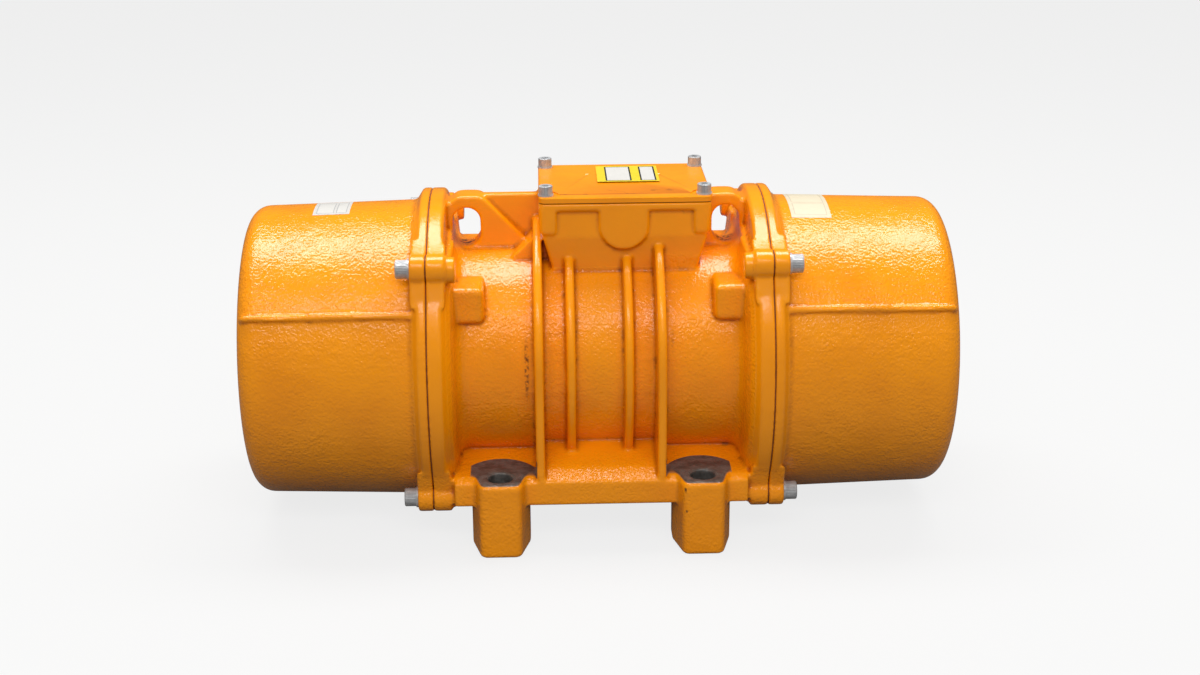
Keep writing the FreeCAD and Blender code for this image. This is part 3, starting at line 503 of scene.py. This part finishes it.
def knurl(tree, first, second, radius, teeth):
    """Fine ribs round a screw head, from the two distances off its axis."""
    turn = maths(tree, "ARCTAN2", first, second)
    wave = maths(tree, "SINE", maths(tree, "MULTIPLY", turn, float(teeth)))
    side = ramp(tree, distance(tree, first, second), radius - 0.45 * MM, radius - 0.25 * MM)
    return maths(tree, "MULTIPLY", wave, side)


def folded(tree, value, middle, half):
    """How far a value lies past the nearer of middle - half and middle + half."""
    off = maths(tree, "ABSOLUTE", maths(tree, "SUBTRACT", value, middle))
    return maths(tree, "SUBTRACT", off, half)


def plated_steel(name, ribs_at=None):
    """Zinc plated steel. ribs_at gives the knurl of the screw heads, with painted shade in its
    grooves.
    """
    made, tree, shader = material(name, metallic=0.5, roughness=0.38)
    cloud = place_group(tree, "fine noise", Size=0.0035, Low=0.0, High=1.0)["Mask"]
    corner_shade_and_dirt = place_group(tree, "crevice", Reach=0.12)
    base = blend_colours(tree, cloud, (0.50, 0.51, 0.52), (0.70, 0.71, 0.72))
    base = blend_colours(tree, corner_shade_and_dirt["Dirt"], base, (0.05, 0.04, 0.035))
    gloss = place_group(tree, "fine noise", Size=0.0012, Low=0.28, High=0.48)["Mask"]
    height = cloud
    if ribs_at:
        axes = add(tree, "SeparateXYZ", {"Vector": object_point(tree)}).outputs
        ribs = ribs_at(tree, axes)
        height = maths(tree, "ADD", maths(tree, "MULTIPLY", cloud, 0.2), ribs)
        # painted shade: the knurl's grooves are darkened
        base = blend_colours(tree, ramp(tree, ribs, -0.2, -0.9, 0.0, 0.45), base,
                             (0.16, 0.15, 0.14))
    fine = add(tree, "Bump", {"Strength": 0.6, "Distance": 0.00012 if ribs_at else 0.00004,
                              "Height": height})
    finish(tree, shader, Base_Color=base, Roughness=gloss, Normal=fine.outputs["Normal"])
    return made


def lid_head_ribs(tree, axes):
    return knurl(tree, folded(tree, axes["X"], LID_SCREW_X, LID_SCREW_HALF_X),
                 folded(tree, axes["Y"], 0.0, LID_SCREW_HALF_Y), LID_HEAD_RADIUS,
                 LID_HEAD_TEETH)


def cover_head_ribs(tree, axes):
    return knurl(tree, folded(tree, axes["Y"], 0.0, COVER_SCREW_HALF),
                 folded(tree, axes["Z"], SHAFT_Z, COVER_SCREW_HALF), COVER_HEAD_RADIUS,
                 COVER_HEAD_TEETH)


def plain(name, low, high, size=0.003, rough=(0.35, 0.55), metallic=0.0, bump=0.00003):
    """Plain surface whose colour, gloss and height change a little."""
    made, tree, shader = material(name, metallic=metallic, roughness=rough[0])
    cloud = place_group(tree, "fine noise", Size=size, Low=0.0, High=1.0)["Mask"]
    gloss = place_group(tree, "fine noise", Size=size * 0.6, Low=rough[0],
                        High=rough[1])["Mask"]
    skin = add(tree, "Bump", {"Strength": 0.6, "Distance": bump, "Height": cloud})
    finish(tree, shader, Base_Color=blend_colours(tree, cloud, low, high), Roughness=gloss,
           Normal=skin.outputs["Normal"])
    return made


def banded(name, low, high, pitch, metallic=0.8, rough=(0.3, 0.5), height=0.0001):
    """Stacked sheets, wound wire or turning marks: fine bands along the shaft's axis."""
    made, tree, shader = material(name, metallic=metallic, roughness=rough[0])
    axes = add(tree, "SeparateXYZ", {"Vector": object_point(tree)}).outputs
    wave = maths(tree, "SINE", maths(tree, "MULTIPLY", axes["X"], 2 * math.pi / pitch))
    band = ramp(tree, wave, -1.0, 1.0)
    gloss = place_group(tree, "fine noise", Size=0.004, Low=rough[0], High=rough[1])["Mask"]
    bump = add(tree, "Bump", {"Strength": 0.7, "Distance": height, "Height": band})
    finish(tree, shader, Base_Color=blend_colours(tree, band, low, high), Roughness=gloss,
           Normal=bump.outputs["Normal"])
    return made


# ---------------------------------------------------------------- operators
class MOTOR_OT_effects(bpy.types.Operator):
    """Build the shader groups that several materials share"""
    bl_idname = "motor.effects"
    bl_label = "Shared effects"

    def execute(self, context):
        cast_grain_group()
        fine_noise_group()
        crevice_group()
        return {"FINISHED"}


class MOTOR_OT_castings(bpy.types.Operator):
    """Round off the casing and the two end covers and enamel them"""
    bl_idname = "motor.castings"
    bl_label = "Castings"

    def execute(self, context):
        settings = context.scene.motor_cast
        coat = enamel("cast enamel")
        give(soft_casting("casing", "cast_casing", settings.casing_triangles), coat)
        for side in SIDES:
            cover = soft_casting(side + "_end_cover", side + "_cast_cover",
                                 settings.cover_triangles)
            give(cover, coat)
        dress(["terminal_box_lid"], enamel("smooth enamel", smooth_all=True))
        return {"FINISHED"}


class MOTOR_OT_fittings(bpy.types.Operator):
    """Finish the screws, seals, gland and the parts inside"""
    bl_idname = "motor.fittings"
    bl_label = "Fittings"

    def execute(self, context):
        dress(["lid_washers", "board_screws"] + both("cover_washers") + both("housing_screws")
              + both("cap_screws") + both("clamp_screw"), plated_steel("zinc plating"))
        dress(["lid_screws"], plated_steel("zinc lid screws", lid_head_ribs))
        dress(both("cover_screws"), plated_steel("zinc cover screws", cover_head_ribs))
        dress(["terminal_box_gasket"] + both("cover_gasket"),
              plain("joint sheet", (0.16, 0.035, 0.012), (0.26, 0.070, 0.022),
                    rough=(0.6, 0.8)))
        dress(["cable_gland_body", "cable_gland_nut"],
              plain("gland plastic", (0.018, 0.018, 0.019), (0.030, 0.030, 0.031),
                    size=0.0008, rough=(0.38, 0.5)))
        dress(["cable_gland_seal"] + both("grease_seal"),
              plain("black rubber", (0.012, 0.012, 0.012), (0.022, 0.021, 0.020),
                    rough=(0.6, 0.75)))
        dress(["terminal_board"], plain("board plastic", (0.03, 0.028, 0.026),
                                        (0.05, 0.046, 0.042), rough=(0.35, 0.5)))
        dress(["terminal_studs", "terminal_links", "terminal_nuts", "earth_screw"],
              plain("terminal brass", (0.62, 0.42, 0.15), (0.74, 0.55, 0.24), metallic=0.95,
                    rough=(0.25, 0.4)))
        dress(both("bearing_cage"), plain("cage brass", (0.60, 0.40, 0.14),
                                          (0.70, 0.52, 0.22), metallic=0.95,
                                          rough=(0.22, 0.35)))
        dress(both("bearing_housing") + both("bearing_cap"),
              plain("grey iron", (0.16, 0.16, 0.165), (0.27, 0.27, 0.275), metallic=0.6,
                    rough=(0.45, 0.65), bump=0.00008))
        dress(both("bearing_outer_ring") + both("bearing_inner_ring")
              + both("bearing_rollers"),
              plain("ground steel", (0.56, 0.57, 0.58), (0.66, 0.67, 0.68), metallic=1.0,
                    rough=(0.10, 0.2), size=0.006, bump=0.000005))
        dress(both("fixed_weight") + both("adjustable_weight"),
              plain("weight iron", (0.10, 0.105, 0.11), (0.20, 0.205, 0.21), metallic=0.5,
                    rough=(0.5, 0.7), bump=0.0001))
        dress(both("scale_disc") + ["rotor_end_rings"],
              plain("soft aluminium", (0.66, 0.67, 0.68), (0.76, 0.77, 0.78), metallic=1.0,
                    rough=(0.3, 0.42)))
        dress(both("circlip"), plain("spring steel", (0.03, 0.03, 0.033),
                                     (0.06, 0.06, 0.064), metallic=0.8, rough=(0.3, 0.4)))
        dress(["shaft"] + both("weight_key"),
              banded("turned steel", (0.50, 0.51, 0.52), (0.60, 0.61, 0.62), 0.0007,
                     metallic=1.0, rough=(0.2, 0.32), height=0.000006))
        dress(["stator_core", "rotor_core"],
              banded("stacked sheets", (0.16, 0.165, 0.18), (0.34, 0.35, 0.37), 0.001))
        dress(["stator_windings"],
              banded("varnished wire", (0.20, 0.05, 0.015), (0.46, 0.17, 0.06), 0.0011,
                     metallic=0.3, rough=(0.2, 0.35), height=0.0004))
        return {"FINISHED"}


def label_sheet(name, x_range, arc, made):
    """Thin label bent round an end cover, between two angles above the front."""
    settings = bpy.context.scene.motor_label
    bm = bmesh.new()
    bmesh.ops.create_grid(bm, x_segments=12, y_segments=24, size=0.5)
    for vert in bm.verts:
        x = x_range[0] + (vert.co.x + 0.5) * (x_range[1] - x_range[0])
        angle = math.radians(arc[0] + (vert.co.y + 0.5) * (arc[1] - arc[0]))
        radius = cover_radius(x) + LABEL_GAP
        vert.co = (x, -radius * math.cos(angle), SHAFT_Z + radius * math.sin(angle))
    bmesh.ops.recalc_face_normals(bm, faces=bm.faces)
    bmesh.ops.solidify(bm, geom=bm.faces[:], thickness=-settings.thickness)
    give(new_piece(name, bm, ROOT, smooth_angle=30.0), made)


def form_label(name, ground, fields, ink, blank, frame_width=0.5):
    """Label with empty framed fields, given in mm as ((x, y), (x, y)) corners."""
    made, tree, shader = material(name, roughness=0.38)
    axes = add(tree, "SeparateXYZ", {"Vector": object_point(tree)}).outputs
    cloud = place_group(tree, "fine noise", Size=0.004, Low=0.0, High=1.0)["Mask"]
    base = blend_colours(tree, cloud, [0.92 * c for c in ground], ground)
    for low, high in fields:
        for inset, paint in ((0.0, ink), (frame_width, blank)):
            across, along = (between(tree, axes[axis], low[i] + inset, high[i] - inset)
                             for i, axis in enumerate("XY"))
            base = blend_colours(tree, maths(tree, "MULTIPLY", across, along), base, paint)
    gloss = place_group(tree, "fine noise", Size=0.003, Low=0.32, High=0.46)["Mask"]
    crease = add(tree, "Bump", {"Strength": 0.4, "Distance": 0.00008, "Height": cloud})
    finish(tree, shader, Base_Color=base, Roughness=gloss, Normal=crease.outputs["Normal"])
    return made


def between(tree, value, low, high):
    """One between two values in mm, with a thin soft edge."""
    return maths(tree, "MULTIPLY", ramp(tree, value, low * MM, (low + 0.15) * MM),
                 ramp(tree, value, high * MM, (high - 0.15) * MM))


def cover_radius(x):
    """Outside radius of an end cover, which tapers towards its closed end."""
    return (COVER_RADIUS - (abs(x) - COVER_START) / COVER_LENGTH * COVER_TAPER) * MM


class MOTOR_OT_labels(bpy.types.Operator):
    """Put the blank labels on the covers and the lid"""
    bl_idname = "motor.labels"
    bl_label = "Labels"

    def execute(self, context):
        settings = context.scene.motor_label
        paper = form_label("label paper", settings.paper, LEFT_FORM, GREY_INK, settings.paper)
        cream = form_label("cream label", settings.cream, RIGHT_FORM, TAN_INK, settings.cream)
        yellow = form_label("lid label", settings.yellow, LID_FORM, BLACK_INK, settings.paper,
                            frame_width=1.1)
        label_sheet("left_label", LEFT_LABEL_X, LEFT_LABEL_ARC, paper)
        label_sheet("right_label", RIGHT_LABEL_X, RIGHT_LABEL_ARC, cream)
        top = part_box("terminal_box_lid")[1][2]
        bm = bmesh.new()
        made = bmesh.ops.create_cube(bm, size=1.0)["verts"]
        low, high = LID_LABEL
        bmesh.ops.scale(bm, vec=((high[0] - low[0]) * MM, (high[1] - low[1]) * MM,
                                 settings.thickness), verts=made)
        bmesh.ops.translate(bm, vec=((high[0] + low[0]) / 2 * MM, (high[1] + low[1]) / 2 * MM,
                                     top + 0.6 * settings.thickness), verts=made)
        give(new_piece("lid_label", bm, ROOT), yellow)
        return {"FINISHED"}


class MOTOR_OT_stage(bpy.types.Operator):
    """Floor, lamps, sky and camera"""
    bl_idname = "motor.stage"
    bl_label = "Stage"

    def execute(self, context):
        scene = context.scene
        settings = scene.motor_stage
        scene.view_settings.view_transform = "Standard"
        self.floor(scene, settings)
        self.sky(scene)
        for lamp in LAMPS:
            self.lamp(scene, *lamp)
        self.camera(scene, settings)
        return {"FINISHED"}

    def floor(self, scene, settings):
        bm = bmesh.new()
        bmesh.ops.create_grid(bm, x_segments=1, y_segments=1, size=FLOOR_SIZE)
        mesh = bpy.data.meshes.new("studio_floor")
        bm.to_mesh(mesh)
        bm.free()
        floor = bpy.data.objects.new("studio_floor", mesh)
        scene.collection.objects.link(floor)
        made = bpy.data.materials.new("pale floor")
        made.use_nodes = True
        tree = made.node_tree
        tree.nodes.clear()
        path = tree.nodes.new("ShaderNodeLightPath").outputs
        white = add(tree, "Emission", {"Color": (1, 1, 1, 1), "Strength": 1.0})
        seen = maths(tree, "MAXIMUM", path["Is Camera Ray"], path["Is Transmission Ray"])
        shade = blend_colours(tree, seen, [FLOOR_BOUNCE * c for c in settings.floor],
                              settings.floor)
        matt = add(tree, "BsdfDiffuse", {"Color": shade})
        share = maths(tree, "MAXIMUM", maths(tree, "MULTIPLY", seen, FLOOR_SEEN),
                      maths(tree, "MULTIPLY", path["Is Glossy Ray"], FLOOR_MIRRORED))
        mixed = add(tree, "MixShader", {0: share, 1: matt.outputs[0], 2: white.outputs[0]})
        out = tree.nodes.new("ShaderNodeOutputMaterial")
        tree.links.new(mixed.outputs[0], out.inputs["Surface"])
        mesh.materials.append(made)

    def sky(self, scene):
        world = bpy.data.worlds.new("studio sky")
        scene.world = world
        world.use_nodes = True
        tree = world.node_tree
        tree.nodes.clear()
        path = tree.nodes.new("ShaderNodeLightPath").outputs
        seen = maths(tree, "MAXIMUM", path["Is Camera Ray"], path["Is Transmission Ray"])
        direct = maths(tree, "MAXIMUM", seen, path["Is Glossy Ray"])
        light = maths(tree, "MULTIPLY", maths(tree, "SUBTRACT", 1.0, direct), SKY_LIGHT)
        mirrored = maths(tree, "MULTIPLY", path["Is Glossy Ray"], SKY_MIRRORED)
        level = maths(tree, "MAXIMUM", maths(tree, "MAXIMUM", seen, mirrored), light)
        sky = add(tree, "Background", {"Color": (1, 1, 1, 1), "Strength": level})
        out = tree.nodes.new("ShaderNodeOutputWorld")
        tree.links.new(sky.outputs[0], out.inputs["Surface"])

    def lamp(self, scene, name, place, size, power, mirrored):
        data = bpy.data.lights.new(name, "AREA")
        data.shape = "RECTANGLE"
        data.size, data.size_y = size
        data.energy = power
        lamp = bpy.data.objects.new(name, data)
        lamp.location = place
        aim = Vector((0, 0, SHAFT_Z)) - Vector(place)
        lamp.rotation_euler = aim.to_track_quat("-Z", "Y").to_euler()
        lamp.visible_glossy = mirrored
        scene.collection.objects.link(lamp)

    def camera(self, scene, settings):
        data = bpy.data.cameras.new("camera")
        data.sensor_width = SENSOR_WIDTH
        data.lens = settings.lens
        camera = bpy.data.objects.new("camera", data)
        turn = (Matrix.Rotation(-CAMERA_YAW, 3, "Z")
                @ Matrix.Rotation(math.pi / 2 - CAMERA_PITCH, 3, "X")
                @ Matrix.Rotation(CAMERA_ROLL, 3, "Z"))
        camera.matrix_world = Matrix.Translation(CAMERA_PLACE) @ turn.to_4x4()
        scene.collection.objects.link(camera)
        scene.camera = camera


class MOTOR_PT_panel(bpy.types.Panel):
    """The steps in order, with the values that a user would change"""
    bl_idname = "MOTOR_PT_panel"
    bl_label = "Vibration motor"
    bl_space_type = "VIEW_3D"
    bl_region_type = "UI"
    bl_category = "Vibration motor"

    def draw(self, context):
        for step in STEPS:
            self.layout.operator(step.bl_idname)
        for holder in SETTINGS:
            box = self.layout.box()
            group_of_values = getattr(context.scene, holder)
            for key in group_of_values.__annotations__:
                box.prop(group_of_values, key)


STEPS = (MOTOR_OT_effects, MOTOR_OT_castings, MOTOR_OT_fittings, MOTOR_OT_labels,
         MOTOR_OT_stage)
SETTINGS = {"motor_cast": CastSettings, "motor_enamel": EnamelSettings,
            "motor_label": LabelSettings, "motor_stage": StageSettings}


def register():
    for cls in (*SETTINGS.values(), *STEPS, MOTOR_PT_panel):
        bpy.utils.register_class(cls)
    for name, cls in SETTINGS.items():
        setattr(bpy.types.Scene, name, PointerProperty(type=cls))


def unregister():
    for name in SETTINGS:
        delattr(bpy.types.Scene, name)
    for cls in (MOTOR_PT_panel, *reversed(STEPS), *SETTINGS.values()):
        bpy.utils.unregister_class(cls)


def main():
    register()
    for step in STEPS:
        area, name = step.bl_idname.split(".")
        getattr(getattr(bpy.ops, area), name)()


if __name__ == "__main__":
    main()
